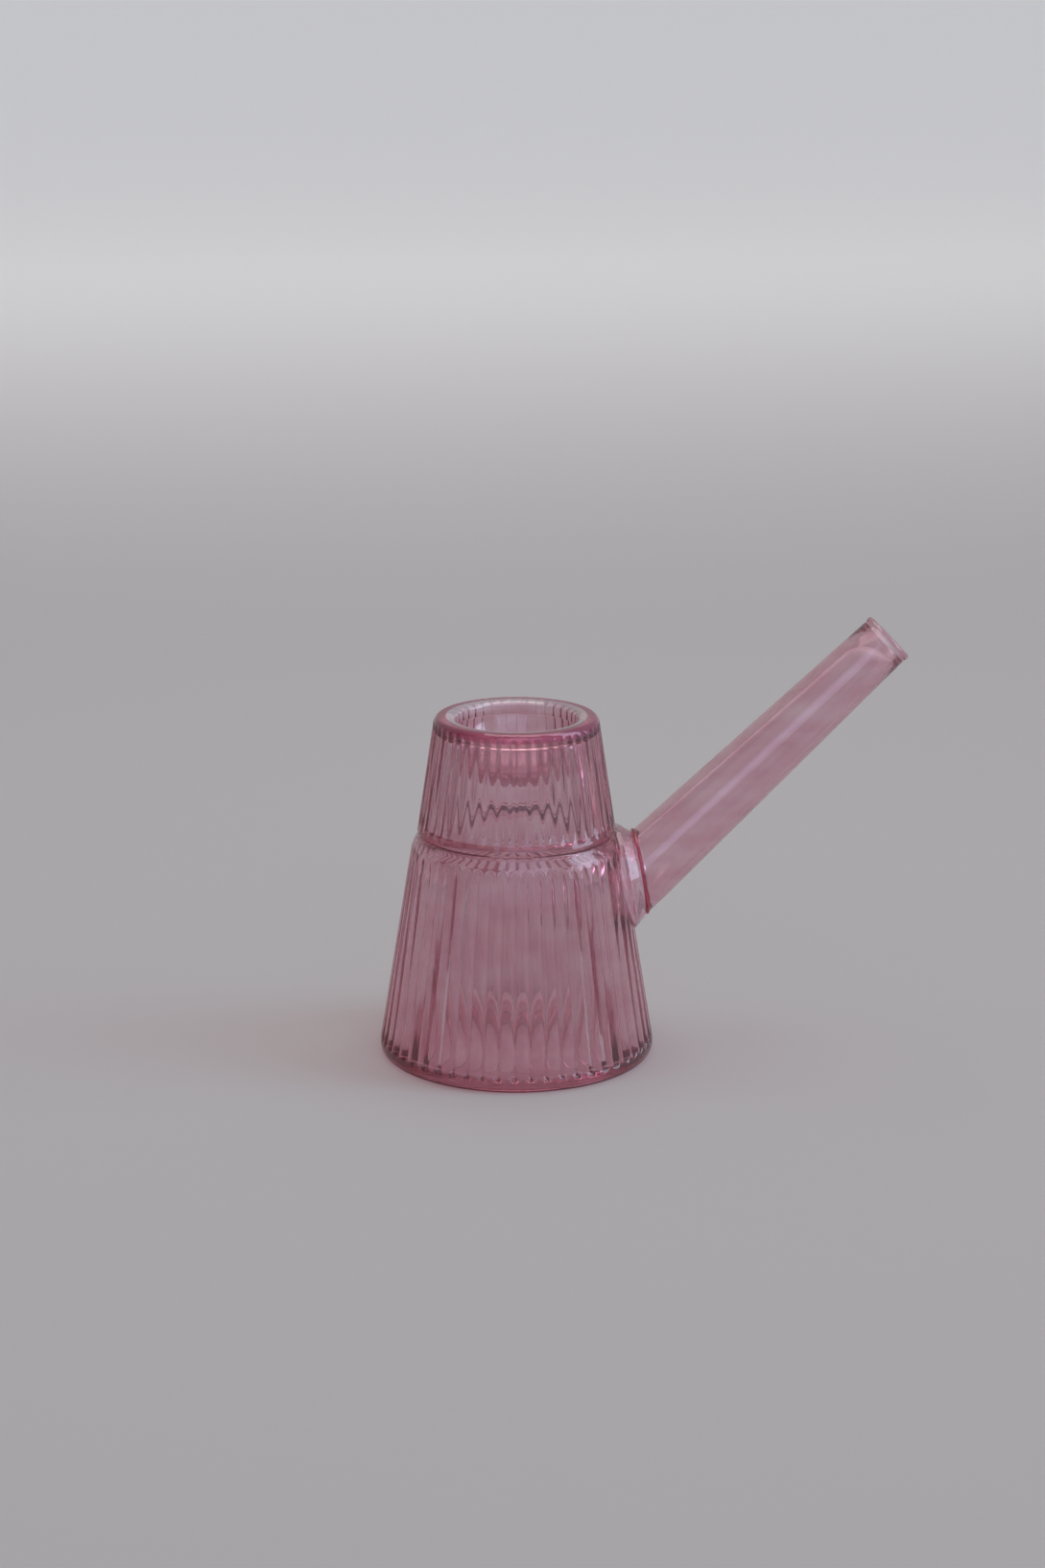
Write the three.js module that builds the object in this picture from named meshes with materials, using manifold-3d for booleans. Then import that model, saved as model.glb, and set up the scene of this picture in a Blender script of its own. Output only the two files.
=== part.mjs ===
// Fluted glass vase with a straight side tube and a bowl cup that lifts out of its mouth.
// Millimetres, +Z up. The origin is the centre of the flat foot and the tube leans out along +X.

import * as THREE from 'three';
import { mergeVertices } from 'three/addons/utils/BufferGeometryUtils.js';
import Module from 'manifold-3d';

const wasm = await Module();
wasm.setup();

// Outside of the lower vessel. Radii are over the rib crests.
const footRadius = 42.8;
const baseRadius = 45;
const footEdgeHeight = 3.4;
const shoulderRadius = 34.4;
const shoulderHeight = 68.5;
const shoulderRise = 6.1;
const shoulderCurve = 1.6;
const lipCrestRadius = 32.3;
const lipRounding = 0.9;

// Ribs of the lower vessel: round reeds that meet in sharp valleys. A roundness of 1 is half a circle.
const vesselRibCount = 54;
const vesselRibDepth = 1.4;
const reedRoundRatio = 0.95;
const footBandTop = 4.2;
const ribFootFade = 2;
const ribTopRise = 2.5;
const ribTopFade = 9;

// Inside of the lower vessel
const wallThickness = 3.4;
const floorThickness = 3;
const insideCornerRadius = 2;
const mouthRadius = 29.8;
const mouthDepth = 3.4;

// Bowl cup: a hollow glass cone, open below, with a round bowl sunk in its top
const cupHeight = 38.3;
const cupShoulderRadius = 27;
const cupEdgeDrop = 3.2;
const cupRimRadius = 25;
const cupFootRounding = 0.9;
const cupFootBand = 1.5;
const cupRibCount = 46;
const cupRibDepth = 0.6;
const cupRibFootFade = 5;
const bowlMouthRadius = 22.8;
const bowlRadius = 19.8;
const bowlLipDrop = 1.6;
const bowlDepth = 20.5;
const bowlThickness = 2.6;
const cupWallThickness = 3.2;
const cupHeelHeight = 2.5;
const cupRimThickness = 5;
const cupGrooveRounding = 1;
const spigotLength = 3;
const spigotThickness = 2.1;
const spigotRounding = 0.8;

// Side tube
const tubeLean = 43.5;
const tubeRootHeight = 55.6;
const tubeLength = 110.8;
const tubeRootRadius = 11.7;
const tubeTipRadius = 8.85;
const tubeWall = 2.1;
const tubeRimFlare = 0.35;
const tubeRimFlareLength = 0.8;

// Pad that the tube is fused to, and the ring of melted glass between them
const padRise = 3.8;
const padFaceMargin = 0.3;
const padFlank = 3.2;
const padEdgeRounding = 0.4;
const seamThickness = 1.5;
const seamBulge = 0.4;
const seamRounding = 0.3;

// Fits
const fusedGap = 0.3;
const seatGap = 0.3;
const spigotClearance = 0.5;
const cutterOverrun = 1;

// Facets
const stepsPerRib = 4;
const smoothSteps = 60;
const tubeSteps = 36;
const arcSteps = 5;

const rad = THREE.MathUtils.degToRad;

// The share of a rib's depth that is cut away, from 0 on its crest (across = 0) to 1 in the valley
// (across = 1): on the vessel's round reeds and on the cup's soft waves
function reedShare(across) {
  const sinkAt = (share) => 1 - Math.sqrt(1 - (reedRoundRatio * share) ** 2);
  return sinkAt(across) / sinkAt(1);
}

function waveShare(across) {
  return (1 - Math.cos(Math.PI * across)) / 2;
}

// The points round one ring: a ribbed ring has several points on each rib, a smooth one has one
function ringPoints({ r, z, depth = 0 }, ribCount, shareAcross) {
  const perRib = depth > 0 ? stepsPerRib : 1;
  return Array.from({ length: ribCount * perRib }, (_, i) => {
    const turn = i / perRib;
    const angle = (turn / ribCount) * 2 * Math.PI;
    const radius = r - depth * shareAcross(Math.abs(turn - Math.round(turn)) * 2);
    return [radius * Math.cos(angle), radius * Math.sin(angle), z];
  });
}

// A closed surface of revolution through rings of { r, z, depth }. It starts and ends on the axis.
function ribbedSolid(rings, ribCount, shareAcross) {
  const positions = [];
  const triangles = [];
  const rows = rings.map((ring) => {
    const first = positions.length / 3;
    const points = ringPoints(ring, ribCount, shareAcross);
    positions.push(...points.flat());
    return { first, count: points.length };
  });
  const corner = (row, i) => row.first + (i % row.count);
  for (let k = 0; k + 1 < rows.length; k += 1) {
    const [low, high] = [rows[k], rows[k + 1]];
    for (let rib = 0; rib < ribCount; rib += 1) {
      const lowSteps = low.count / ribCount;
      const highSteps = high.count / ribCount;
      const steps = Math.max(lowSteps, highSteps);
      for (let i = 0; i < steps; i += 1) {
        const a = corner(low, rib * lowSteps + Math.round((i * lowSteps) / steps));
        const b = corner(low, rib * lowSteps + Math.round(((i + 1) * lowSteps) / steps));
        const c = corner(high, rib * highSteps + Math.round(((i + 1) * highSteps) / steps));
        const d = corner(high, rib * highSteps + Math.round((i * highSteps) / steps));
        if (a !== b) triangles.push(a, b, c);
        if (c !== d) triangles.push(a, c, d);
      }
    }
  }
  const geometry = new THREE.BufferGeometry();
  geometry.setAttribute('position', new THREE.Float32BufferAttribute(positions, 3));
  geometry.setIndex(triangles);
  return geometry;
}

// A smooth surface of revolution about Z from [r, z] points listed upwards on its outside
function turned(points, steps = smoothSteps) {
  const geometry = new THREE.LatheGeometry(points.map(([r, z]) => new THREE.Vector2(r, z)), steps);
  geometry.rotateX(Math.PI / 2);
  return geometry;
}

// Points on a quarter or part of an ellipse, with its angles in degrees
function arc(r, z, radiusR, radiusZ, from, to, steps = arcSteps) {
  return Array.from({ length: steps + 1 }, (_, i) => {
    const angle = rad(from + ((to - from) * i) / steps);
    return [r + radiusR * Math.cos(angle), z + radiusZ * Math.sin(angle)];
  });
}

// A closed mesh as a solid that can be cut
function solid(geometry) {
  const bare = geometry.clone();
  bare.deleteAttribute('normal');
  bare.deleteAttribute('uv');
  const merged = mergeVertices(bare, 1e-4);
  const index = Array.from(merged.index.array);
  const kept = [];
  for (let i = 0; i < index.length; i += 3) {
    const [a, b, c] = index.slice(i, i + 3);
    if (a !== b && b !== c && c !== a) kept.push(a, b, c);
  }
  const mesh = new wasm.Mesh({
    numProp: 3,
    vertProperties: merged.attributes.position.array,
    triVerts: Uint32Array.from(kept),
  });
  return new wasm.Manifold(mesh);
}

function toGeometry(manifold) {
  const mesh = manifold.getMesh();
  const geometry = new THREE.BufferGeometry();
  geometry.setAttribute('position', new THREE.BufferAttribute(mesh.vertProperties, 3));
  geometry.setIndex(new THREE.BufferAttribute(mesh.triVerts, 1));
  geometry.computeVertexNormals();
  return geometry;
}

// Lines that the tube, its pad and the seam share, in the plane y = 0
const wallSlope = (baseRadius - shoulderRadius) / (shoulderHeight - footEdgeHeight);
const wallTilt = Math.atan(wallSlope);
const wallRadiusAt = (z) => baseRadius - (z - footEdgeHeight) * wallSlope;
const axisPoint = new THREE.Vector3(wallRadiusAt(tubeRootHeight), 0, tubeRootHeight);
const axisDirection = new THREE.Vector3(Math.cos(rad(tubeLean)), 0, Math.sin(rad(tubeLean)));
const wallNormal = new THREE.Vector3(Math.cos(wallTilt), 0, Math.sin(wallTilt));
const leanFromWall = rad(tubeLean) - wallTilt;
const tubeBoreRadius = tubeRootRadius - tubeWall;

// The point of the tube's axis that lies this far out of the wall, measured square to it
function axisPointOut(rise) {
  return axisPoint.clone().addScaledVector(axisDirection, rise / Math.cos(leanFromWall));
}

// Turns a shape made along +Z so that it runs along a direction from a point
function placed(geometry, point, direction) {
  const turn = new THREE.Quaternion().setFromUnitVectors(new THREE.Vector3(0, 0, 1), direction);
  return geometry.clone().applyQuaternion(turn).translate(point.x, point.y, point.z);
}

// Above its straight wall the vessel rounds in to the lip, and its ribs fade out there
const lipHeight = shoulderHeight + shoulderRise;
const lipEdgeHeight = lipHeight - lipRounding;
const ribTopHeight = shoulderHeight + ribTopRise;

function shoulderRadiusAt(z) {
  const share = Math.min(1, (z - shoulderHeight) / (lipEdgeHeight - shoulderHeight));
  return lipCrestRadius + (shoulderRadius - lipCrestRadius) * (1 - share ** shoulderCurve);
}

// The outside of the vessel as a full solid, grown on every side by a gap where it cuts a neighbour
function vesselOutside(growth = 0, ribDepth = vesselRibDepth) {
  const rings = [{ r: 0, z: -growth }];
  const footEdge = arc(footRadius, footEdgeHeight, baseRadius - footRadius, footEdgeHeight, -90, 0, 3);
  footEdge.forEach(([r, z], i) => rings.push({ r: r + growth, z: i === 0 ? -growth : z }));
  rings.push({ r: wallRadiusAt(footBandTop) + growth, z: footBandTop });
  const ribsFull = footBandTop + ribFootFade;
  const fadeStart = ribTopHeight - ribTopFade;
  for (const z of [ribsFull, fadeStart, shoulderHeight]) {
    const fade = Math.min(1, (ribTopHeight - z) / ribTopFade);
    const depth = (ribDepth * fade * wallRadiusAt(z)) / baseRadius;
    rings.push({ r: wallRadiusAt(z) + growth, z, depth });
  }
  rings.push({ r: shoulderRadiusAt(ribTopHeight) + growth, z: ribTopHeight });
  const lipEdge = arc(lipCrestRadius - lipRounding, lipEdgeHeight, lipRounding, lipRounding, 0, 90, 2);
  lipEdge.forEach(([r, z]) => rings.push({ r: r + growth, z: z + growth }));
  rings.push({ r: 0, z: lipHeight + growth });
  return ribbedSolid(rings, vesselRibCount, reedShare);
}

// The hollow of the vessel: a flat floor with a round corner, a straight wall and a short narrow mouth
function vesselHollow() {
  const floorCornerRadius = wallRadiusAt(floorThickness + insideCornerRadius) - wallThickness;
  const corner = arc(
    floorCornerRadius - insideCornerRadius, floorThickness + insideCornerRadius,
    insideCornerRadius, insideCornerRadius, -90, 0,
  );
  const neckFoot = lipHeight - mouthDepth;
  return turned([
    [0, floorThickness],
    ...corner,
    [wallRadiusAt(shoulderHeight - wallThickness) - wallThickness, shoulderHeight - wallThickness],
    [mouthRadius, neckFoot],
    [mouthRadius, lipEdgeHeight],
    [mouthRadius + lipRounding, lipHeight],
    [mouthRadius + lipRounding, lipHeight + cutterOverrun],
    [0, lipHeight + cutterOverrun],
  ]);
}

// The bore that runs through the wall, the pad and the seam into the tube
function tubeBore() {
  const layers = (wallThickness + padRise + seamThickness) / Math.cos(leanFromWall);
  const reach = 2 * (layers + tubeRootRadius);
  const rod = new THREE.CylinderGeometry(tubeBoreRadius, tubeBoreRadius, reach, tubeSteps);
  rod.rotateX(Math.PI / 2);
  return placed(rod, axisPoint, axisDirection);
}

function lowerVessel() {
  return toGeometry(solid(vesselOutside()).subtract(solid(vesselHollow())).subtract(solid(tubeBore())));
}

// An oval disc that lies on the wall like the tube's slanted end, with a margin around it.
// Its rings are [rise, margin], from the wall outwards, and all are centred on the tube's axis
// where that axis is centreRise out of the wall.
function ovalDisc(rings, centreRise) {
  const positions = [];
  const triangles = [];
  const count = rings.length;
  for (const [rise, margin] of rings) {
    for (let i = 0; i < tubeSteps; i += 1) {
      const angle = (i / tubeSteps) * 2 * Math.PI;
      const along = (tubeRootRadius / Math.cos(leanFromWall) + margin) * Math.cos(angle);
      const across = (tubeRootRadius + margin) * Math.sin(angle);
      positions.push(along, across, rise - centreRise);
    }
  }
  const [bottom, top] = [positions.length / 3, positions.length / 3 + 1];
  positions.push(0, 0, rings[0][0] - centreRise, 0, 0, rings[count - 1][0] - centreRise);
  for (let i = 0; i < tubeSteps; i += 1) {
    const j = (i + 1) % tubeSteps;
    triangles.push(bottom, j, i);
    for (let k = 0; k + 1 < count; k += 1) {
      const [a, b] = [k * tubeSteps + i, k * tubeSteps + j];
      triangles.push(a, b, b + tubeSteps, a, b + tubeSteps, a + tubeSteps);
    }
    triangles.push(top, (count - 1) * tubeSteps + i, (count - 1) * tubeSteps + j);
  }
  const geometry = new THREE.BufferGeometry();
  geometry.setAttribute('position', new THREE.Float32BufferAttribute(positions, 3));
  geometry.setIndex(triangles);
  return placed(geometry, axisPointOut(centreRise), wallNormal);
}

// A block that fills everything on one side of a height, to trim other solids with
function everythingAbove(z) {
  const size = 4 * (baseRadius + tubeLength);
  return new THREE.BoxGeometry(size, size, size).translate(0, 0, z + size / 2);
}

// The pad stands on the wall, follows the shoulder and is ground level with the lip
function tubePad() {
  const wallSag = wallRadiusAt(tubeRootHeight) - Math.sqrt(
    wallRadiusAt(tubeRootHeight) ** 2 - (tubeRootRadius + padFaceMargin + padFlank) ** 2,
  );
  const blank = ovalDisc([
    [-2 * wallSag, padFaceMargin + padFlank],
    [0, padFaceMargin + padFlank],
    [padRise - padEdgeRounding, padFaceMargin + padEdgeRounding],
    [padRise, padFaceMargin - padEdgeRounding],
  ], padRise);
  return toGeometry(
    solid(blank)
      .subtract(solid(vesselOutside(fusedGap, 0)))
      .subtract(solid(everythingAbove(lipHeight)))
      .subtract(solid(tubeBore())),
  );
}

function seamRing() {
  const [from, to] = [padRise + fusedGap, padRise + seamThickness];
  const blank = ovalDisc([
    [from, seamBulge - seamRounding],
    [from + seamRounding, seamBulge],
    [to - seamRounding, seamBulge],
    [to, seamBulge - seamRounding],
  ], (from + to) / 2);
  return toGeometry(solid(blank).subtract(solid(tubeBore())));
}

// The tube tapers to its fire-polished rim, and its root is cut parallel to the wall
function sideTube() {
  const rootOut = padRise + seamThickness + fusedGap;
  const root = axisPointOut(rootOut);
  const slantReach = tubeRootRadius * Math.tan(leanFromWall);
  const rimMid = tubeTipRadius - tubeWall / 2;
  const rimHalf = tubeWall / 2 + tubeRimFlare;
  const rimStart = tubeLength - rimHalf - tubeRimFlareLength;
  const outline = [
    [tubeBoreRadius, -slantReach],
    [tubeRootRadius, -slantReach],
    [tubeRootRadius, 0],
    [tubeTipRadius, rimStart],
    ...arc(rimMid, tubeLength - rimHalf, rimHalf, rimHalf, 0, 180, 6),
    [tubeTipRadius - tubeWall, rimStart],
    [tubeBoreRadius, 0],
    [tubeBoreRadius, -slantReach],
  ];
  const blank = placed(turned(outline, tubeSteps), root, axisDirection);
  const size = 4 * tubeLength;
  const behindRoot = new THREE.BoxGeometry(size, size, size).translate(0, 0, -size / 2);
  return toGeometry(solid(blank).subtract(solid(placed(behindRoot, root, wallNormal))));
}

// The cup stands on the lip, flush with its outside, and a short spigot ring under it fills the mouth
const cupFootHeight = lipHeight + seatGap;
const cupTopHeight = cupFootHeight + cupHeight;
const cupShoulderHeight = cupTopHeight - cupEdgeDrop;
const cupFootRadius = lipCrestRadius;
const cupSlope = (cupFootRadius - cupShoulderRadius) / (cupShoulderHeight - cupFootHeight);
const cupRadiusAt = (z) => cupFootRadius - (z - cupFootHeight) * cupSlope;
const spigotRadius = mouthRadius - spigotClearance;
const spigotFootHeight = cupFootHeight - spigotLength;
const bowlTopHeight = cupTopHeight - bowlLipDrop;

function cupOutside() {
  const bandTop = cupFootHeight + cupFootBand;
  const ribsFull = bandTop + cupRibFootFade;
  const topDepth = (cupRibDepth * cupShoulderRadius) / cupFootRadius;
  const footEdge = arc(
    cupFootRadius - cupFootRounding, cupFootHeight + cupFootRounding,
    cupFootRounding, cupFootRounding, -90, 0, 3,
  );
  const topEdge = arc(
    cupRimRadius, cupShoulderHeight,
    cupShoulderRadius - cupRimRadius, cupEdgeDrop, 0, 90,
  );
  const rings = [
    { r: 0, z: spigotFootHeight },
    { r: spigotRadius - spigotRounding, z: spigotFootHeight },
    { r: spigotRadius, z: spigotFootHeight + spigotRounding },
    { r: spigotRadius, z: cupFootHeight },
    ...footEdge.map(([r, z]) => ({ r, z })),
    { r: cupRadiusAt(bandTop), z: bandTop },
    { r: cupRadiusAt(ribsFull), z: ribsFull, depth: cupRibDepth },
    { r: cupShoulderRadius, z: cupShoulderHeight, depth: topDepth },
    ...topEdge.slice(1).map(([r, z], i) => ({ r, z, depth: i === 0 ? topDepth / 2 : 0 })),
    { r: 0, z: cupTopHeight },
  ];
  return ribbedSolid(rings, cupRibCount, waveShare);
}

// The bowl is half an ellipsoid, and its lip rolls over on to the flat rim
function cupBowl() {
  const lipWidth = bowlMouthRadius - bowlRadius;
  return turned([
    ...arc(0, bowlTopHeight, bowlRadius, bowlDepth - bowlLipDrop, -90, 0, 2 * arcSteps),
    ...arc(bowlMouthRadius, bowlTopHeight, lipWidth, bowlLipDrop, 180, 90, 3).slice(1),
    [bowlMouthRadius, cupTopHeight + cutterOverrun],
    [0, cupTopHeight + cutterOverrun],
  ]);
}

// Under the bowl the cup is hollow: a wall of even thickness that narrows to the spigot in a short
// heel, and a bowl of even thickness that hangs from the rim. The two meet in a round groove.
function cupHollow() {
  const grooveTop = cupTopHeight - cupRimThickness;
  const [underWide, underHigh] = [bowlRadius + bowlThickness, bowlDepth - bowlLipDrop + bowlThickness];
  const grooveShare = (bowlTopHeight - grooveTop) / underHigh;
  const grooveAngle = THREE.MathUtils.radToDeg(Math.asin(grooveShare));
  const wallTop = cupRadiusAt(grooveTop) - cupWallThickness;
  const heelTop = cupFootHeight + cupHeelHeight;
  return turned([
    [0, spigotFootHeight - cutterOverrun],
    [spigotRadius - spigotThickness, spigotFootHeight - cutterOverrun],
    [spigotRadius - spigotThickness, cupFootHeight],
    [cupRadiusAt(heelTop) - cupWallThickness, heelTop],
    [wallTop, grooveTop - cupGrooveRounding],
    [wallTop - cupGrooveRounding, grooveTop],
    ...arc(0, bowlTopHeight, underWide, underHigh, -grooveAngle, -90, 2 * arcSteps),
  ]);
}

function bowlCup() {
  return toGeometry(solid(cupOutside()).subtract(solid(cupBowl())).subtract(solid(cupHollow())));
}

// Polished pink glass, see-through
function glass(color) {
  const [roughness, metalness, opacity] = [0.04, 0, 0.45];
  return new THREE.MeshStandardMaterial({ color, roughness, metalness, transparent: true, opacity });
}

function piece(name, geometry, color) {
  const mesh = new THREE.Mesh(geometry, glass(color));
  mesh.name = name;
  return mesh;
}

const vase = new THREE.Group();
vase.add(
  piece('lower_vessel', lowerVessel(), '#c98a99'),
  piece('tube_pad', tubePad(), '#c47f8f'),
  piece('seam_ring', seamRing(), '#a84a5c'),
  piece('side_tube', sideTube(), '#cf9fa8'),
  piece('bowl_cup', bowlCup(), '#c98a9a'),
);

export default vase;
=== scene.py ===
# %% [markdown]
# A fluted glass vase, dressed step by step.
# The frame holds the solid model of the vase: a hollow fluted vessel, a pad and a ring of melted
# glass on its wall, a slanted side tube, and a glass cup that stands on the vessel's mouth.
# Each of them gets a fine mesh here, because glass shows every facet, and then a glass finish.

# %% Load the frame
import math

import bpy
import numpy as np
from mathutils import Matrix, Vector


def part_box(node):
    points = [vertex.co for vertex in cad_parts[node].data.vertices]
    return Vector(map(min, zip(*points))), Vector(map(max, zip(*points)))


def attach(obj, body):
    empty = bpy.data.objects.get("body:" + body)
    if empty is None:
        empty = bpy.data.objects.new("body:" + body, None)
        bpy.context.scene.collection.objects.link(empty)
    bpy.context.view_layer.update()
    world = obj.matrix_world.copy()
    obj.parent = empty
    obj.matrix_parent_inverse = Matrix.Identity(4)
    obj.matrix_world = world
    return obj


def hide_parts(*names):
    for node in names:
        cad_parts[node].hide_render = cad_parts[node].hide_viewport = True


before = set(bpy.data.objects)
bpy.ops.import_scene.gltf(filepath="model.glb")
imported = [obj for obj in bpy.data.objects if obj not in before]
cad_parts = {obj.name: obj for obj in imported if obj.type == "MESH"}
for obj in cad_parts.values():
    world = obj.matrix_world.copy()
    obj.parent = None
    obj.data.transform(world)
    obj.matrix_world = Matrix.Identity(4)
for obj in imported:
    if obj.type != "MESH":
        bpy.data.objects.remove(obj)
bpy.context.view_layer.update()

mm = 0.001
print("frame loaded:", sorted(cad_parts))

# %% [markdown]
# The camera stands where the photographer stood: about a metre away, looking down by fifteen
# degrees, with a long lens. The picture is 1089 by 1634 pixels, and the lens is given through the
# picture's own focal length in pixels. The aim point is 50 mm up the vase's axis, and it lands on
# one pixel of the picture, so the picture can be checked against the photograph with a ruler.

# %% The camera
picture_width, picture_height = 1089, 1634
focal_pixels = 3400
aim_pixel = (538.3, 940.7)
aim_height = 50 * mm
aim_distance = 1067.8 * mm
look_down = math.radians(15.23)
turn_from_tube = math.radians(-6)

camera_data = bpy.data.cameras.new("camera")
camera = bpy.data.objects.new("camera", camera_data)
bpy.context.scene.collection.objects.link(camera)
camera_data.sensor_fit = "VERTICAL"
camera_data.sensor_height = 36
camera_data.lens = focal_pixels * camera_data.sensor_height / picture_height
camera.rotation_euler = (math.pi / 2 - look_down, 0, turn_from_tube)
turned = camera.rotation_euler.to_matrix()
right_of_middle = (aim_pixel[0] - picture_width / 2) / focal_pixels
below_middle = (aim_pixel[1] - picture_height / 2) / focal_pixels
towards_aim = turned @ Vector((right_of_middle, -below_middle, -1))
camera.location = Vector((0, 0, aim_height)) - aim_distance * towards_aim
bpy.context.scene.camera = camera
print("camera at", [round(v / mm) for v in camera.location], "mm")

# %% [markdown]
# Colours are written as sRGB hex values, as a painter's swatch would give them, and one function
# turns them to the linear values that a shader needs. A second function adds one shader node with
# its settings and its links, so that each material below reads like a recipe.


# %% Colour and node helpers
def linear(hex_colour):
    values = [int(hex_colour[i:i + 2], 16) / 255 for i in (1, 3, 5)]
    return [v / 12.92 if v <= 0.04045 else ((v + 0.055) / 1.055) ** 2.4 for v in values] + [1]


def add_node(tree, kind, settings=None, **inputs):
    node = tree.nodes.new(kind)
    for key, value in (settings or {}).items():
        setattr(node, key, value)
    for key, value in inputs.items():
        socket = node.inputs[int(key[1:])] if key[0] == "_" else node.inputs[key.replace("_", " ")]
        if isinstance(value, bpy.types.NodeSocket):
            tree.links.new(value, socket)
        else:
            socket.default_value = value
    return node


def new_material(name):
    material = bpy.data.materials.new(name)
    material.use_nodes = True
    material.node_tree.nodes.clear()
    return material, material.node_tree


# %% [markdown]
# The floor is a pale matt sheet that runs far back. Its colour turns softly from a warm grey near
# the vase to a lighter, neutral grey behind it: painted light, painted on the sheet along its own
# Y axis. The far end is painted nearly white, because less of the lamp's light reaches it. The
# sheet lies a tenth of a millimetre under the foot, as much air as a real foot keeps, so that the
# two surfaces never coincide.

# %% The floor
floor_near = "#A29E9C"
# Painted light: the far colour is painted lighter, in place of the lamp's light that falls off far back.
floor_far_painted_light = "#EFE8DF"
painted_lightening_span = (0.55, 2.5)
sheet_size = 60
air_under_foot = 0.1 * mm

bpy.ops.object.select_all(action="DESELECT")
bpy.ops.mesh.primitive_plane_add(size=sheet_size, location=(0, 0, -air_under_foot))
floor = bpy.context.object
floor.name = "floor"
paper, tree = new_material("matt paper sheet, painted lighter far back")
place = add_node(tree, "ShaderNodeTexCoord")
along = add_node(tree, "ShaderNodeSeparateXYZ", _0=place.outputs["Object"])
# Painted light: this ramp paints the sheet lighter with distance along its Y axis.
turn = add_node(
    tree, "ShaderNodeMapRange", {"interpolation_type": "SMOOTHSTEP"},
    Value=along.outputs["Y"], From_Min=painted_lightening_span[0], From_Max=painted_lightening_span[1],
)
shade = add_node(
    tree, "ShaderNodeMix", {"data_type": "RGBA"},
    _0=turn.outputs["Result"], _6=linear(floor_near), _7=linear(floor_far_painted_light),
)
matt = add_node(tree, "ShaderNodeBsdfDiffuse", Color=shade.outputs[2])
add_node(tree, "ShaderNodeOutputMaterial", Surface=matt.outputs[0])
floor.data.materials.append(paper)

# %% [markdown]
# Clear glass is drawn by what it bends and reflects towards the eye, so the room matters more than
# the lamp. The room is an even dim grey with a few patches, each given by its bearing round the
# vase and its height above the horizon, in degrees: a tall cool window with bars behind the
# camera, a bright strip at the right, and a dark doorway at the left. A soft lamp overhead lights
# the floor, and it is too high for the vase's walls to mirror it.

# %% The room
world = bpy.data.worlds.new("room")
bpy.context.scene.world = world
world.use_nodes = True
world.node_tree.nodes.clear()
room = world.node_tree
direction = add_node(room, "ShaderNodeTexCoord").outputs["Generated"]
parts = add_node(room, "ShaderNodeSeparateXYZ", _0=direction)
towards_camera = add_node(
    room, "ShaderNodeMath", {"operation": "MULTIPLY"}, _0=parts.outputs["Y"], _1=-1.0,
)
bearing = add_node(
    room, "ShaderNodeMath", {"operation": "ARCTAN2"}, _0=parts.outputs["X"], _1=towards_camera.outputs[0],
)
height = add_node(room, "ShaderNodeMath", {"operation": "ARCSINE"}, _0=parts.outputs["Z"])


def ramp(value, start, end):
    """0 at start and 1 at end, in degrees, and smooth between them."""
    node = add_node(
        room, "ShaderNodeMapRange", {"interpolation_type": "SMOOTHSTEP"},
        Value=value, From_Min=math.radians(start), From_Max=math.radians(end),
    )
    return node.outputs["Result"]


def both_masks(first, second):
    return add_node(room, "ShaderNodeMath", {"operation": "MULTIPLY"}, _0=first, _1=second).outputs[0]


def patch(left, right, low, high, soft):
    """A mask that is 1 in a box of bearings and heights, with soft edges."""
    turned, raised = bearing.outputs[0], height.outputs[0]
    across = both_masks(ramp(turned, left - soft, left), ramp(turned, right + soft, right))
    upright = both_masks(ramp(raised, low - soft, low), ramp(raised, high + soft, high))
    return both_masks(across, upright)


def painted(under, mask, colour, strength=1.0):
    over = [v * strength for v in linear(colour)[:3]] + [1]
    mix = add_node(
        room, "ShaderNodeMix", {"data_type": "RGBA", "clamp_factor": True},
        _0=mask, _6=under, _7=over,
    )
    return mix.outputs[2]


wall_grey = 0.4
doorway = patch(left=-100, right=-72, low=-10, high=45, soft=5)
strip = patch(left=64, right=92, low=-5, high=60, soft=4)
window_left = -25
pane_columns = 3
pane_pitch, pane_width = 20, 17
pane_rows = ((3, 22), (24, 45))

walls = painted([wall_grey, wall_grey, wall_grey, 1], doorway, "#141414")
walls = painted(walls, strip, "#D8E6FF", strength=5.0)
for column in range(pane_columns):
    left = window_left + column * pane_pitch
    for low, high in pane_rows:
        pane = patch(left, left + pane_width, low, high, soft=1)
        walls = painted(walls, pane, "#D6E2FF", strength=1.6)
sky = add_node(room, "ShaderNodeBackground", Color=walls, Strength=1.0)
add_node(room, "ShaderNodeOutputWorld", Surface=sky.outputs[0])

lamp_place = Vector((0.1, 0.2, 1.7))
lamp_width = 1.4
lamp_watts = 16.5

lamp_data = bpy.data.lights.new("overhead", "AREA")
lamp_data.shape = "RECTANGLE"
lamp_data.size, lamp_data.size_y = lamp_width, lamp_width
lamp_data.energy = lamp_watts
lamp_data.color = linear("#FFFAF5")[:3]
lamp = bpy.data.objects.new("overhead", lamp_data)
bpy.context.scene.collection.objects.link(lamp)
lamp.location = lamp_place
lamp.rotation_euler = (-lamp_place).to_track_quat("-Z", "Y").to_euler()

# %% [markdown]
# A glass piece is turned like a pot. A disc is added for the middle of its underside, its edge is
# picked, and the edge is pulled on and scaled ring by ring along a profile of radii and heights,
# up the outside and down the inside, until the last ring shrinks to a point on the axis. Faces
# that meet at less than 35 degrees are shaded as one smooth surface. Sizes are in millimetres from
# here on, and each helper turns them to metres.

# %% Turning helpers
smooth_below = math.radians(35)
start_ring = 6
end_ring = 10
same_point = 0.001


def pick_only(piece):
    bpy.ops.object.select_all(action="DESELECT")
    piece.select_set(True)
    bpy.context.view_layer.objects.active = piece


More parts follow.
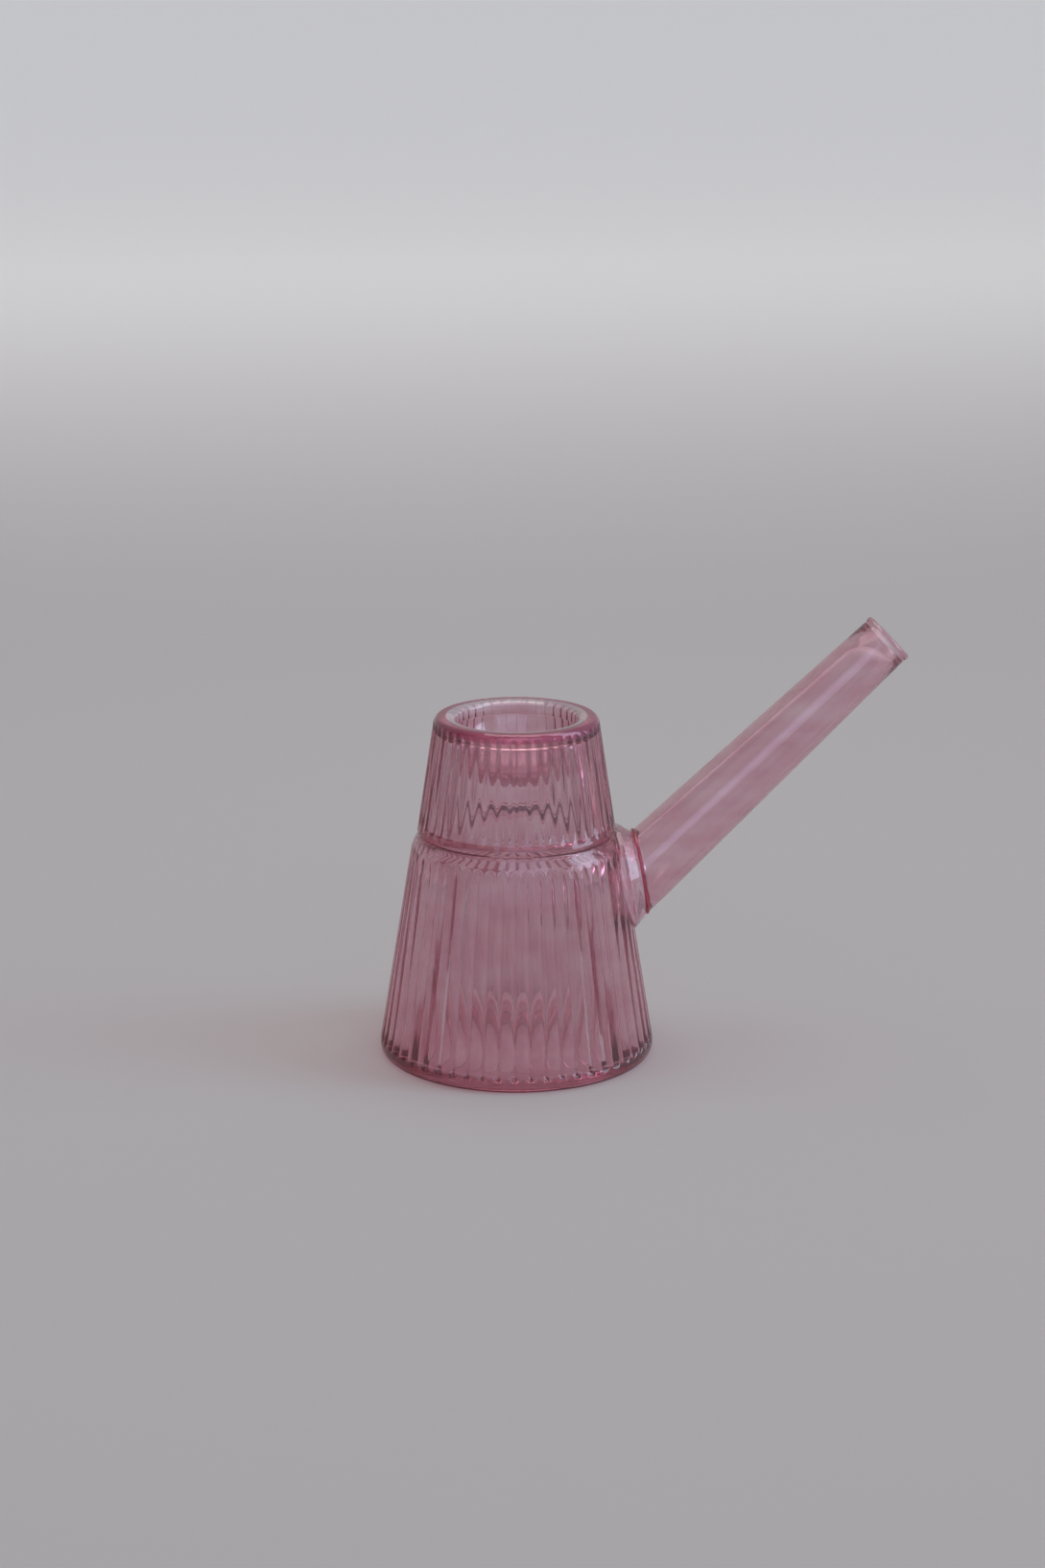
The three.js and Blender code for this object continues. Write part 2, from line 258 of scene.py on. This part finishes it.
def pull_rings(points, last):
    for radius, height in points:
        step = (0, 0, (height - last[1]) * mm)
        bpy.ops.mesh.extrude_region_move(TRANSFORM_OT_translate={"value": step})
        scale = radius / last[0]
        bpy.ops.transform.resize(value=(scale, scale, 1), center_override=(0, 0, 0))
        last = (radius, height)
    return last


def turn_solid(name, points, steps):
    """A closed piece from [radius, height] points that start and end near the axis."""
    bpy.ops.object.select_all(action="DESELECT")
    radius, height = points[0]
    bpy.ops.mesh.primitive_circle_add(
        vertices=steps, radius=radius * mm, fill_type="TRIFAN", location=(0, 0, height * mm),
    )
    piece = bpy.context.object
    piece.name = name
    bpy.ops.object.transform_apply(location=True)
    bpy.ops.object.mode_set(mode="EDIT")
    bpy.ops.mesh.select_all(action="SELECT")
    bpy.ops.mesh.region_to_loop()
    pull_rings(points[1:], points[0])
    bpy.ops.mesh.merge(type="CENTER")
    bpy.ops.mesh.select_all(action="SELECT")
    bpy.ops.mesh.normals_make_consistent(inside=False)
    bpy.ops.object.mode_set(mode="OBJECT")
    return piece


def turn_ring(name, points, steps):
    """A closed piece with a hole through it, from [radius, height] points round its section."""
    bpy.ops.object.select_all(action="DESELECT")
    radius, height = points[0]
    bpy.ops.mesh.primitive_circle_add(
        vertices=steps, radius=radius * mm, fill_type="NOTHING", location=(0, 0, height * mm),
    )
    piece = bpy.context.object
    piece.name = name
    bpy.ops.object.transform_apply(location=True)
    bpy.ops.object.mode_set(mode="EDIT")
    bpy.ops.mesh.select_all(action="SELECT")
    pull_rings([*points[1:], points[0]], points[0])
    bpy.ops.mesh.select_all(action="SELECT")
    bpy.ops.mesh.remove_doubles(threshold=same_point * mm)
    bpy.ops.mesh.normals_make_consistent(inside=False)
    bpy.ops.object.mode_set(mode="OBJECT")
    return piece


def arc(radius, height, wide, high, start, end, steps):
    """Points on part of an ellipse about (radius, height), with its angles in degrees.

    An angle of 0 is straight out from the axis, and 90 is up.
    """
    angles = [math.radians(start + (end - start) * i / steps) for i in range(steps + 1)]
    return [(radius + wide * math.cos(a), height + high * math.sin(a)) for a in angles]


def line(first, last, steps):
    """Points on a straight line after its first one."""
    shares = [(i + 1) / steps for i in range(steps)]
    return [tuple(a + (b - a) * s for a, b in zip(first, last)) for s in shares]


# %% [markdown]
# The flutes are pressed in after turning, as the mould presses them. Each rib is sixteen columns
# of points wide. The columns get a weight from 0 on the crest to 1 in the valley, which fades out
# towards the smooth bands above and below, and one Displace modifier sinks them by it. The vessel
# has round reeds that meet in sharp valleys, and the cup has soft waves.


# %% Pressing the ribs
columns_per_rib = 16
reed_roundness = 0.95


def reed(across):
    def sink_at(share):
        return 1 - np.sqrt(1 - (reed_roundness * share) ** 2)
    return sink_at(across) / sink_at(1)


def wave(across):
    return (1 - np.cos(math.pi * across)) / 2


def press_ribs(piece, ribs, share_across, depth, heights, fades, inside_of, smooth_at=None):
    """Sinks the valleys between two heights, in mm, on the wall that is outside inside_of(z)."""
    count = len(piece.data.vertices)
    places = np.zeros(count * 3)
    piece.data.vertices.foreach_get("co", places)
    places = places.reshape(-1, 3) / mm
    turns = np.arctan2(places[:, 1], places[:, 0]) / (2 * math.pi) * ribs
    across = np.abs(turns - np.round(turns)) * 2
    radii = np.hypot(places[:, 0], places[:, 1])
    up = np.clip((places[:, 2] - heights[0]) / fades[0], 0, 1)
    down = np.clip((heights[1] - places[:, 2]) / fades[1], 0, 1)
    fade = np.sin(up * math.pi / 2) * np.sin(down * math.pi / 2)
    weights = share_across(across) * fade * (radii > inside_of(places[:, 2]))
    if smooth_at:
        weights *= 1 - smooth_at(places)
    group = piece.vertex_groups.new(name="valleys")
    rounded = np.round(weights, 3)
    for weight in np.unique(rounded[rounded > 0]):
        group.add(np.nonzero(rounded == weight)[0].tolist(), float(weight), "REPLACE")
    press = piece.modifiers.new("press ribs", "DISPLACE")
    press.vertex_group = "valleys"
    press.mid_level = 0
    press.strength = -depth * mm
    bpy.context.view_layer.objects.active = piece
    bpy.ops.object.modifier_apply(modifier=press.name)
    piece.vertex_groups.clear()


# %% [markdown]
# The lower vessel is a pressed hollow: a foot with a round edge and a shallow hollow underneath, a
# smooth band, a fluted cone, a shoulder that rounds in to a narrow lip, and an inside that is
# smooth, with a thin floor and a round corner. Where the tube is melted on, the heat has smoothed
# the flutes away. The main sizes are read from the frame.

# %% The lower vessel
_, vessel_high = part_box("lower_vessel")
base_radius = vessel_high.x / mm
lip_height = vessel_high.z / mm
foot_radius = 42.8
foot_edge_height = 3.4
foot_band_top = 4.2
shoulder_radius = 34.4
shoulder_height = 68.5
shoulder_curve = 1.6
lip_crest_radius = 32.3
lip_rounding = 0.9
vessel_ribs = 54
vessel_rib_depth = 1.4
rib_foot_fade = 2
rib_top = shoulder_height + 2.5
rib_top_fade = 9
lip_allowance = 1.5
wall_thickness = 3.4
floor_thickness = 3
punt_radius = 31
punt_height = 1.2
punt_rounding = 1
inside_corner = 2
mouth_radius = 29.8
mouth_depth = 3.4
tube_root_height = 55.6
melt_wide, melt_high = 15.5, 17.5
melt_fade = 0.25

foot_edge_width = base_radius - foot_radius
lip_edge = lip_height - lip_rounding
wall_slope = (base_radius - shoulder_radius) / (shoulder_height - foot_edge_height)


def wall_radius(height):
    return base_radius - (height - foot_edge_height) * wall_slope


def shoulder_points(steps):
    points = []
    for i in range(1, steps + 1):
        share = i / steps
        radius = lip_crest_radius + (shoulder_radius - lip_crest_radius) * (1 - share ** shoulder_curve)
        points.append((radius, shoulder_height + share * (lip_edge - shoulder_height)))
    return points


ribs_full = foot_band_top + rib_foot_fade
fade_start = rib_top - rib_top_fade
lip_crest = lip_crest_radius - lip_rounding
outside = [(start_ring, punt_height), (punt_radius, punt_height)]
outside += arc(punt_radius, 0, punt_rounding, punt_height, 90, 0, steps=5)[1:]
outside += arc(foot_radius, foot_edge_height, foot_edge_width, foot_edge_height, -90, 0, steps=8)
outside += line(outside[-1], (wall_radius(foot_band_top), foot_band_top), steps=1)
outside += line(outside[-1], (wall_radius(ribs_full), ribs_full), steps=6)
outside += line(outside[-1], (wall_radius(fade_start), fade_start), steps=6)
outside += line(outside[-1], (shoulder_radius, shoulder_height), steps=8)
outside += shoulder_points(steps=8)
outside += arc(lip_crest, lip_edge, lip_rounding, lip_rounding, 0, 90, steps=5)[1:]

inside_foot = floor_thickness + inside_corner
inside_foot_radius = wall_radius(inside_foot) - wall_thickness
inside_top = shoulder_height - wall_thickness
corner_radius = inside_foot_radius - inside_corner
inside = arc(mouth_radius + lip_rounding, lip_edge, lip_rounding, lip_rounding, 90, 180, steps=4)
inside += line(inside[-1], (mouth_radius, lip_height - mouth_depth), steps=2)
inside += line(inside[-1], (wall_radius(inside_top) - wall_thickness, inside_top), steps=4)
inside += line(inside[-1], (inside_foot_radius, inside_foot), steps=8)
inside += arc(corner_radius, inside_foot, inside_corner, inside_corner, 0, -90, steps=10)[1:]
inside += [(end_ring, floor_thickness)]

vessel = turn_solid("vessel", outside + inside, vessel_ribs * columns_per_rib)


def melted_smooth(places):
    """1 on the oval that the tube's heat has smoothed, and 0 outside its faded edge."""
    out = np.hypot(places[:, 1] / melt_wide, (places[:, 2] - tube_root_height) / melt_high)
    return np.clip((1 + melt_fade - out) / melt_fade, 0, 1) * (places[:, 0] > 0)


def middle_of_wall(heights):
    return wall_radius(heights) - wall_thickness / 2 - lip_allowance * (heights > shoulder_height)


press_ribs(
    vessel, vessel_ribs, reed, vessel_rib_depth,
    (foot_band_top, rib_top), (rib_foot_fade, rib_top_fade), middle_of_wall, melted_smooth,
)
bpy.ops.object.shade_smooth_by_angle(angle=smooth_below)
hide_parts("lower_vessel")
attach(vessel, "vessel")
print("vessel:", len(vessel.data.polygons), "faces")

# %% [markdown]
# The cup is a hollow cone, fluted like the vessel, with a bowl that hangs from its broad flat rim.
# Under the bowl it is open, and a short ring under its foot drops into the vessel's mouth. Its
# section starts under the bowl, runs out along the bowl's underside, turns in a round groove,
# comes down the inside of the wall, goes round the foot and up the flutes, and ends in the bowl.

# %% The cup
cup_low, cup_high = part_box("bowl_cup")
cup_top = cup_high.z / mm
spigot_foot = cup_low.z / mm
spigot_length = 3
spigot_thickness = 2.1
spigot_rounding = 0.8
cup_foot = spigot_foot + spigot_length
cup_foot_radius = lip_crest_radius
cup_shoulder_radius = 27
cup_edge_drop = 3.2
cup_shoulder = cup_top - cup_edge_drop
cup_rim_radius = 25
cup_rim_thickness = 5
cup_wall = 3.2
cup_heel_height = 2.5
cup_groove_rounding = 1
cup_foot_rounding = 0.9
cup_foot_band = 1.5
cup_ribs = 46
cup_rib_depth = 0.6
cup_rib_foot_fade = 5
cup_rib_top_fade = 3
cup_rib_top_drop = 1
bowl_mouth_radius = 22.8
bowl_radius = 19.8
bowl_lip_drop = 1.6
bowl_depth = 20.5
bowl_thickness = 2.6
bowl_pole = -87
bowl_steps = 24
bowl_edge_margin = 0.8
spigot_clearance = 0.5

cup_slope = (cup_foot_radius - cup_shoulder_radius) / (cup_shoulder - cup_foot)


def cup_radius(height):
    return cup_foot_radius - (height - cup_foot) * cup_slope


bowl_top = cup_top - bowl_lip_drop
bowl_high = bowl_depth - bowl_lip_drop
under_wide, under_high = bowl_radius + bowl_thickness, bowl_high + bowl_thickness
groove_top = cup_top - cup_rim_thickness
groove_angle = math.degrees(math.asin((bowl_top - groove_top) / under_high))
groove_low = groove_top - cup_groove_rounding
groove_middle = cup_radius(groove_top) - cup_wall - cup_groove_rounding
heel = cup_foot + cup_heel_height
spigot_radius = mouth_radius - spigot_clearance
spigot_inside = spigot_radius - spigot_thickness
spigot_edge = spigot_foot + spigot_rounding
underside = arc(0, bowl_top, under_wide, under_high, bowl_pole, -groove_angle, bowl_steps)
underside += arc(groove_middle, groove_low, cup_groove_rounding, cup_groove_rounding, 90, 0, steps=5)
underside += line(underside[-1], (cup_radius(heel) - cup_wall, heel), steps=8)
underside += line(underside[-1], (spigot_inside, cup_foot), steps=3)
underside += line(underside[-1], (spigot_inside, spigot_foot + spigot_rounding / 2), steps=2)
underside += [(spigot_inside + spigot_rounding / 2, spigot_foot)]

foot_middle = (cup_foot_radius - cup_foot_rounding, cup_foot + cup_foot_rounding)
band_top = cup_foot + cup_foot_band
ribs_full = band_top + cup_rib_foot_fade
shoulder_wide = cup_shoulder_radius - cup_rim_radius
spigot_middle = (spigot_radius - spigot_rounding, spigot_edge)
outside = arc(*spigot_middle, spigot_rounding, spigot_rounding, -90, 0, steps=4)
outside += [(spigot_radius, cup_foot)]
outside += arc(*foot_middle, cup_foot_rounding, cup_foot_rounding, -90, 0, steps=5)
outside += line(outside[-1], (cup_radius(band_top), band_top), steps=1)
outside += line(outside[-1], (cup_radius(ribs_full), ribs_full), steps=5)
outside += line(outside[-1], (cup_shoulder_radius, cup_shoulder), steps=6)
outside += arc(cup_rim_radius, cup_shoulder, shoulder_wide, cup_edge_drop, 0, 90, steps=12)[1:]

lip_wide = bowl_mouth_radius - bowl_radius
inside = arc(bowl_mouth_radius, bowl_top, lip_wide, bowl_lip_drop, 90, 180, steps=6)
inside += arc(0, bowl_top, bowl_radius, bowl_high, 0, bowl_pole, bowl_steps)[1:]


def inside_of_flutes(heights):
    on_rim = heights >= cup_shoulder
    return np.where(on_rim, bowl_mouth_radius + bowl_edge_margin, cup_radius(heights) - cup_wall / 2)


cup = turn_solid("cup", underside + outside + inside, cup_ribs * columns_per_rib)
press_ribs(
    cup, cup_ribs, wave, cup_rib_depth,
    (band_top, cup_top - cup_rib_top_drop), (cup_rib_foot_fade, cup_rib_top_fade), inside_of_flutes,
)
bpy.ops.object.shade_smooth_by_angle(angle=smooth_below)
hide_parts("bowl_cup")
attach(cup, "cup")
print("cup:", len(cup.data.polygons), "faces")

# %% [markdown]
# The tube, its pad and the seam share one line, the tube's axis. It starts on the wall at the
# tube's root and leans up at 43.5 degrees. The pad and the seam lie square to the wall instead.

# %% Lines that the tube shares with its pad
tube_lean = math.radians(43.5)
tube_root_radius = 11.7
tube_tip_radius = 8.85
tube_wall = 2.1
tube_length = 110.8
tube_rim_flare = 0.35
tube_rim_flare_length = 0.8
pad_rise = 3.8
pad_face_margin = 0.3
pad_flank = 3.2
pad_edge_rounding = 0.4
pad_root_depth = 8
seam_thickness = 1.5
seam_bulge = 0.4
seam_bore_margin = 0.2
fused_gap = 0.3
tube_steps = 120
envelope_steps = 360
overrun = 5
slab_size = 200

wall_tilt = math.atan(wall_slope)
lean_from_wall = tube_lean - wall_tilt
axis_start = Vector((wall_radius(tube_root_height), 0, tube_root_height))
axis_direction = Vector((math.cos(tube_lean), 0, math.sin(tube_lean)))
wall_normal = Vector((math.cos(wall_tilt), 0, math.sin(wall_tilt)))
bore_radius = tube_root_radius - tube_wall


def axis_point(rise):
    """The point of the tube's axis that is this far out of the wall, in mm."""
    return axis_start + axis_direction * (rise / math.cos(lean_from_wall))


def set_down(piece, point, direction):
    """Turns a piece made along Z so that it runs along a direction from a point in mm."""
    turn = Vector((0, 0, 1)).rotation_difference(direction).to_matrix().to_4x4()
    piece.data.transform(Matrix.Translation(point * mm) @ turn)


# %% [markdown]
# The tube is a turned ring with a long thin section: outside, round the fire-polished rim, and
# back down the bore. Its root is then cut parallel to the wall with a bisect, and the two open
# edges of the cut are bridged.

# %% The side tube
root_rise = pad_rise + seam_thickness + fused_gap
slant = tube_root_radius * math.tan(lean_from_wall)
rim_middle = tube_tip_radius - tube_wall / 2
rim_half = tube_wall / 2 + tube_rim_flare
rim_start = tube_length - rim_half - tube_rim_flare_length
section = [(tube_root_radius, -slant), (tube_root_radius, 0)]
section += line(section[-1], (tube_tip_radius, rim_start), steps=10)
section += arc(rim_middle, tube_length - rim_half, rim_half, rim_half, 0, 180, steps=10)
section += line(section[-1], (tube_tip_radius - tube_wall, rim_start), steps=1)
section += line(section[-1], (bore_radius, 0), steps=10)
section += [(bore_radius, -slant)]
tube = turn_ring("tube", section, tube_steps)
set_down(tube, axis_point(root_rise), axis_direction)
bpy.ops.object.mode_set(mode="EDIT")
bpy.ops.mesh.select_all(action="SELECT")
bpy.ops.mesh.bisect(
    plane_co=axis_point(root_rise) * mm, plane_no=wall_normal, clear_inner=True,
)
bpy.ops.mesh.select_all(action="SELECT")
bpy.ops.mesh.region_to_loop()
bpy.ops.mesh.bridge_edge_loops()
bpy.ops.mesh.select_all(action="SELECT")
bpy.ops.mesh.normals_make_consistent(inside=False)
bpy.ops.object.mode_set(mode="OBJECT")
bpy.ops.object.shade_smooth_by_angle(angle=smooth_below)
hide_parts("side_tube")
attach(tube, "vessel")
print("tube:", len(tube.data.polygons), "faces")

# %% [markdown]
# The pad and the seam are oval, like the tube's slanted end. Each is turned round and then
# stretched along the wall. The pad is cut to the wall's curve, to the lip's level and to the bore
# with Boolean modifiers, whose cutters are removed again.

# %% Oval pieces and cuts
never_zero = 1e-6


def stretch_oval(piece, middle_radius):
    """Makes a round piece as long along the wall as the tube's slanted end."""
    longer = middle_radius * (1 / math.cos(lean_from_wall) - 1)
    places = np.zeros(len(piece.data.vertices) * 3)
    piece.data.vertices.foreach_get("co", places)
    places = places.reshape(-1, 3) / mm
    radii = np.maximum(np.hypot(places[:, 0], places[:, 1]), never_zero)
    places[:, 0] *= (radii + longer) / radii
    piece.data.vertices.foreach_set("co", (places * mm).ravel())
    piece.data.update()


def cut_away(piece, cutter):
    cut = piece.modifiers.new("cut", "BOOLEAN")
    cut.operation = "DIFFERENCE"
    cut.solver = "EXACT"
    cut.object = cutter
    bpy.context.view_layer.objects.active = piece
    bpy.ops.object.modifier_apply(modifier=cut.name)


def drop(*helpers):
    for helper in helpers:
        mesh = helper.data
        bpy.data.objects.remove(helper)
        bpy.data.meshes.remove(mesh)


glass_to_cross = (wall_thickness + pad_rise + seam_thickness) / math.cos(lean_from_wall)
bore_reach = 2 * (glass_to_cross + tube_root_radius)
bpy.ops.object.select_all(action="DESELECT")
bpy.ops.mesh.primitive_cylinder_add(vertices=tube_steps, radius=bore_radius * mm, depth=bore_reach * mm)
bore = bpy.context.object
set_down(bore, axis_start, axis_direction)

# %% The pad
pad_face = tube_root_radius + pad_face_margin
pad_skirt = tube_root_radius + pad_face_margin + pad_flank
pad_points = [(start_ring, -pad_root_depth), (pad_skirt, -pad_root_depth), (pad_skirt, 0)]
pad_points += line(pad_points[-1], (pad_face + pad_edge_rounding, pad_rise - pad_edge_rounding), steps=4)
pad_points += [(pad_face, pad_rise - pad_edge_rounding / 3)]
pad_points += [(pad_face - pad_edge_rounding, pad_rise), (start_ring, pad_rise)]
pad = turn_solid("pad", pad_points, tube_steps)
stretch_oval(pad, tube_root_radius)
set_down(pad, axis_point(pad_rise) - wall_normal * pad_rise, wall_normal)

widest = base_radius + fused_gap
envelope = turn_solid("envelope", [
    (end_ring, -overrun), (widest, -overrun), (widest, foot_edge_height),
    (shoulder_radius + fused_gap, shoulder_height),
    *[(radius + fused_gap, height) for radius, height in shoulder_points(steps=8)],
    (lip_crest_radius + fused_gap, lip_height + overrun), (end_ring, lip_height + overrun),
], envelope_steps)
bpy.ops.object.select_all(action="DESELECT")
bpy.ops.mesh.primitive_cube_add(size=slab_size * mm, location=(0, 0, (lip_height + slab_size / 2) * mm))
above = bpy.context.object
for cutter in (envelope, above, bore):
    cut_away(pad, cutter)
pick_only(pad)
bpy.ops.object.shade_smooth_by_angle(angle=smooth_below)
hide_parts("tube_pad")
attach(pad, "vessel")
print("pad:", len(pad.data.polygons), "faces")

# %% The seam
seam_low = pad_rise + fused_gap
seam_half = (seam_thickness - fused_gap) / 2
seam_middle = seam_low + seam_half
seam_bore = bore_radius + seam_bore_margin
seam_section = [(seam_bore, -seam_half), (tube_root_radius, -seam_half)]
seam_section += arc(tube_root_radius, 0, seam_bulge, seam_half, -90, 90, steps=8)[1:]
seam_section += [(seam_bore, seam_half)]
seam = turn_ring("seam", seam_section, tube_steps)
stretch_oval(seam, tube_root_radius)
set_down(seam, axis_point(seam_middle), wall_normal)
bpy.ops.object.shade_smooth_by_angle(angle=smooth_below)
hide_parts("seam_ring")
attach(seam, "vessel")
print("seam:", len(seam.data.polygons), "faces")

# %% The hole through the wall
cut_away(vessel, bore)
pick_only(vessel)
bpy.ops.object.shade_smooth_by_angle(angle=smooth_below)
drop(envelope, above, bore)

# %% [markdown]
# The glass is soda-lime glass that is pink all through, so its colour comes from the inside:
# Volume Absorption takes away a share of each colour for every metre of glass that the light goes
# through. Thin walls look pale, and the thick rim and foot look deep pink. The surface is fire
# polished. Pressed glass is never quite flat: the mould chills it in soft waves a few millimetres
# long. The tube's waves are drawn out to long faint streaks, level with the floor. One noise makes
# both: it tilts the surface a little, leaves a trace of haze, and lets the glass be a shade pinker
# here and there.
#
# A few hundredths of the light are scattered by the skin, which keeps the deepest lines pink. The
# pad and the seam were melted on, and their skin scatters a tenth. On the cup's thick rim, light is
# painted in place of the light that thick glass gathers from all round: about a quarter of the light
# is scattered there so that the rim glows pale on the bowl's round lip, and a deep pink is painted
# on the ring outside it. Light that only goes on to the floor passes straight through the surfaces,
# which keeps the floor's shadow free of noise.

# %% Glass
skin_scatter = 0.03
melt_scatter = 0.1
clear_skin = ("#FFFFFF", "#F6E2E9")
haze_most = 0.03
# Painted light on the cup's rim: how much of it glows, and where the glow and the painted deep pink ring
# begin.
painted_rim_glow = 0.24
painted_rim_glow_start, painted_rim_glow_full = cup_top - 3.5, cup_top - 2.5
painted_rim_glow_inside = 19.6
painted_deep_ring_inside = 22.7
rim_edge_softness = 0.3
streaks = (0.05, 1, 1)


def painted_rim_light_masks(tree, place):
    """Masks for the light painted on the cup's rim: its painted glow, and the deep pink ring painted on
    it.
    """
    parts = add_node(tree, "ShaderNodeSeparateXYZ", _0=place)
    flat = add_node(tree, "ShaderNodeVectorMath", {"operation": "MULTIPLY"}, _0=place, _1=(1, 1, 0))
    radius = add_node(tree, "ShaderNodeVectorMath", {"operation": "LENGTH"}, _0=flat.outputs[0])
    near_top = add_node(
        tree, "ShaderNodeMapRange",
        Value=parts.outputs["Z"], From_Min=painted_rim_glow_start * mm, From_Max=painted_rim_glow_full * mm,
    )
    masks = []
    for edge in (painted_rim_glow_inside, painted_deep_ring_inside):
        outside_edge = add_node(
            tree, "ShaderNodeMapRange",
            Value=radius.outputs["Value"], From_Min=edge * mm, From_Max=(edge + rim_edge_softness) * mm,
        )
        masks.append(add_node(
            tree, "ShaderNodeMath", {"operation": "MULTIPLY"},
            _0=near_top.outputs["Result"], _1=outside_edge.outputs["Result"],
        ).outputs[0])
    return masks


def glass(
    name, soak_colour, soak_density, wave_length, wave_height,
    stretch=(1, 1, 1), turn=0.0, rim=False, scatter=skin_scatter, skin=clear_skin,
):
    material, tree = new_material(name)
    place = add_node(tree, "ShaderNodeTexCoord")
    turned = add_node(
        tree, "ShaderNodeMapping", Vector=place.outputs["Object"], Rotation=(0, turn, 0), Scale=stretch,
    )
    waves = add_node(
        tree, "ShaderNodeTexNoise", Vector=turned.outputs[0], Scale=1 / wave_length, Detail=2.0,
    ).outputs["Fac"]
    wavy = add_node(tree, "ShaderNodeBump", Height=waves, Strength=1.0, Distance=wave_height)
    haze = add_node(
        tree, "ShaderNodeMapRange", Value=waves, From_Min=0.5, From_Max=0.8, To_Min=0.0, To_Max=haze_most,
    )
    tint = add_node(tree, "ShaderNodeMapRange", Value=waves, From_Min=0.3, From_Max=0.7)
    shade = add_node(
        tree, "ShaderNodeMix", {"data_type": "RGBA"},
        _0=tint.outputs["Result"], _6=linear(skin[0]), _7=linear(skin[1]),
    )
    colour, clearness = shade.outputs[2], 1 - scatter
    if rim:
        # Painted light on the rim: about a quarter of the light is scattered so the rim glows, and the
        # ring outside the bowl's lip is painted deep pink.
        painted_glow, deep = painted_rim_light_masks(tree, place.outputs["Object"])
        ring = add_node(
            tree, "ShaderNodeMix", {"data_type": "RGBA"}, _0=deep, _6=colour, _7=linear("#CE7391"),
        )
        colour = ring.outputs[2]
        clearness = add_node(
            tree, "ShaderNodeMapRange", Value=painted_glow, To_Min=1 - scatter, To_Max=1 - painted_rim_glow,
        ).outputs["Result"]
    shader = add_node(
        tree, "ShaderNodeBsdfPrincipled", Base_Color=colour, Roughness=haze.outputs["Result"],
        IOR=1.5, Transmission_Weight=clearness, Normal=wavy.outputs[0],
    )
    path = add_node(tree, "ShaderNodeLightPath")
    for_floor = add_node(
        tree, "ShaderNodeMath", {"operation": "MAXIMUM"},
        _0=path.outputs["Is Shadow Ray"], _1=path.outputs["Is Diffuse Ray"],
    )
    through = add_node(tree, "ShaderNodeBsdfTransparent", Color=(1, 1, 1, 1))
    both = add_node(
        tree, "ShaderNodeMixShader",
        _0=for_floor.outputs[0], _1=shader.outputs[0], _2=through.outputs[0],
    )
    soak = add_node(tree, "ShaderNodeVolumeAbsorption", Color=linear(soak_colour), Density=soak_density)
    add_node(tree, "ShaderNodeOutputMaterial", Surface=both.outputs[0], Volume=soak.outputs[0])
    return material


pressed = glass("pink pressed glass", "#DC84A1", 112, wave_length=9 * mm, wave_height=0.04 * mm)
# The rim's glass has light painted on it: a glow and a deep pink ring.
polished = glass(
    "pink pressed glass, painted rim glow", "#DC84A1", 120, wave_length=7 * mm, wave_height=0.03 * mm, rim=True,
)
drawn = glass(
    "pink drawn glass", "#E085A4", 150, wave_length=5 * mm, wave_height=0.03 * mm,
    stretch=streaks, turn=tube_lean,
)
pooled = glass(
    "pink melted glass", "#DC84A1", 112, wave_length=6 * mm, wave_height=0.08 * mm, scatter=melt_scatter,
)
melted = glass(
    "melted red glass", "#D8506A", 150, wave_length=4 * mm, wave_height=0.15 * mm,
    scatter=melt_scatter, skin=("#E08AA0", "#C86482"),
)
for piece, material in ((vessel, pressed), (cup, polished), (pad, pooled), (tube, drawn), (seam, melted)):
    piece.data.materials.append(material)

settings = bpy.context.scene.cycles
settings.max_bounces = 32
settings.transmission_bounces = 32
settings.glossy_bounces = 32
settings.transparent_max_bounces = 32
bpy.context.scene.view_settings.view_transform = "Standard"
